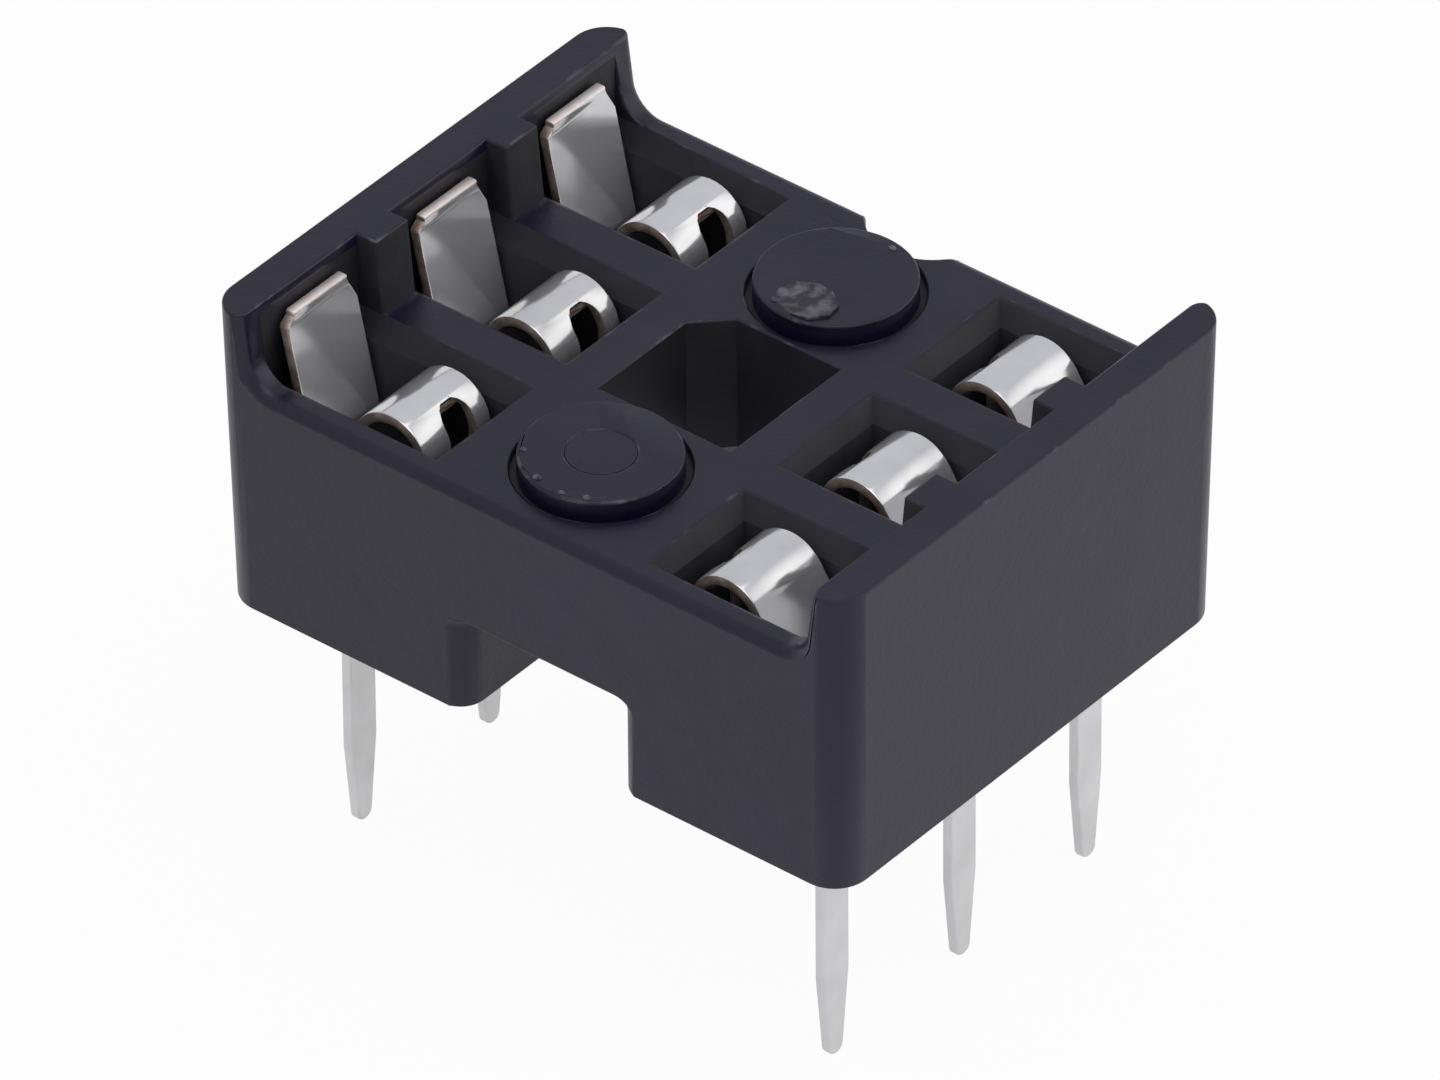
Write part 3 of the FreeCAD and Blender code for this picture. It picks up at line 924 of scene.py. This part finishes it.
def makeFloor():
    low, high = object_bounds()
    stopEditing()
    bpy.ops.mesh.primitive_plane_add(size=studio["floorSize"] * mm, location=(0, 0, low.z))
    floor = bpy.context.object
    floor.name = "floor"
    settle(floor)
    material, nodes, links = newMaterial("paleFloor")
    shader = nodes["Principled BSDF"]
    shader.inputs["Roughness"].default_value = 0.9
    colour = rampNode(nodes, links, grainNode(nodes, 0.05, 3),
                      [(0.3, (0.70, 0.70, 0.71, 1)), (0.7, (0.74, 0.74, 0.75, 1))])
    links.new(colour.outputs["Color"], shader.inputs["Base Color"])
    white = nodes.new("ShaderNodeEmission")
    path = nodes.new("ShaderNodeLightPath")
    share = nodes.new("ShaderNodeMath")
    share.operation = "MULTIPLY"
    share.inputs[1].default_value = 0.96
    inMirrors = nodes.new("ShaderNodeMath")
    inMirrors.operation = "MULTIPLY_ADD"
    inMirrors.inputs[1].default_value = 0.6
    links.new(path.outputs["Is Glossy Ray"], inMirrors.inputs[0])
    links.new(path.outputs["Is Camera Ray"], inMirrors.inputs[2])
    links.new(inMirrors.outputs["Value"], share.inputs[0])
    blend = nodes.new("ShaderNodeMixShader")
    links.new(share.outputs["Value"], blend.inputs["Fac"])
    links.new(shader.outputs["BSDF"], blend.inputs[1])
    links.new(white.outputs["Emission"], blend.inputs[2])
    links.new(blend.outputs["Shader"], nodes["Material Output"].inputs["Surface"])
    floor.data.materials.append(material)


def makeWorld():
    world = bpy.data.worlds.new("studio")
    bpy.context.scene.world = world
    world.use_nodes = True
    nodes, links = world.node_tree.nodes, world.node_tree.links
    background = nodes["Background"]
    background.inputs["Strength"].default_value = studio["worldStrength"]
    place = nodes.new("ShaderNodeTexCoord")
    towards = nodes.new("ShaderNodeVectorMath")
    towards.operation = "DOT_PRODUCT"
    towards.inputs[1].default_value = Vector(studio["brightSide"]).normalized()
    links.new(place.outputs["Generated"], towards.inputs[0])
    tone = rampNode(nodes, links, towards.outputs["Value"],
                    [(0.72, (0.465, 0.475, 0.515, 1)), (0.92, (1.0, 1.0, 1.0, 1))])
    links.new(tone.outputs["Color"], background.inputs["Color"])


def makeLamp(name, place, size, power):
    stopEditing()
    bpy.ops.object.light_add(type="AREA", location=[v * mm for v in place])
    lamp = bpy.context.object
    lamp.name = name
    lamp.data.shape = "RECTANGLE"
    lamp.data.size = size[0] * mm
    lamp.data.size_y = size[1] * mm
    lamp.data.energy = power
    lamp.rotation_euler = Vector(place).to_track_quat("Z", "Y").to_euler()


def makeCamera():
    s = studio
    azimuth = math.radians(s["cameraAzimuth"])
    elevation = math.radians(s["cameraElevation"])
    back = Vector((math.sin(azimuth) * math.cos(elevation), -math.cos(azimuth) * math.cos(elevation),
                   math.sin(elevation)))
    right = Vector((math.cos(azimuth), math.sin(azimuth), 0))
    roll = math.radians(s["cameraRoll"])
    upright = back.cross(right)
    up = upright * math.cos(roll) - right * math.sin(roll)
    aim = Vector((0, 0, s["aimHeight"])) - up * s["aimDown"]
    stopEditing()
    bpy.ops.object.camera_add(location=(aim + back * s["cameraDistance"]) * mm)
    camera = bpy.context.object
    camera.name = "camera"
    camera.rotation_mode = "QUATERNION"
    camera.rotation_quaternion = back.to_track_quat("Z", "Y")
    camera.rotation_mode = "XYZ"
    camera.rotation_euler.rotate_axis("Z", roll)
    camera.data.lens = s["lens"]
    camera.data.sensor_width = 36
    camera.data.clip_start = 1 * mm
    bpy.context.scene.camera = camera


makeFloor()
makeWorld()
makeLamp("key", (30, -20, 120), (90, 90), studio["keyPower"])
makeCamera()
bpy.context.scene.view_settings.view_transform = "Standard"
print("floor, light and camera set")
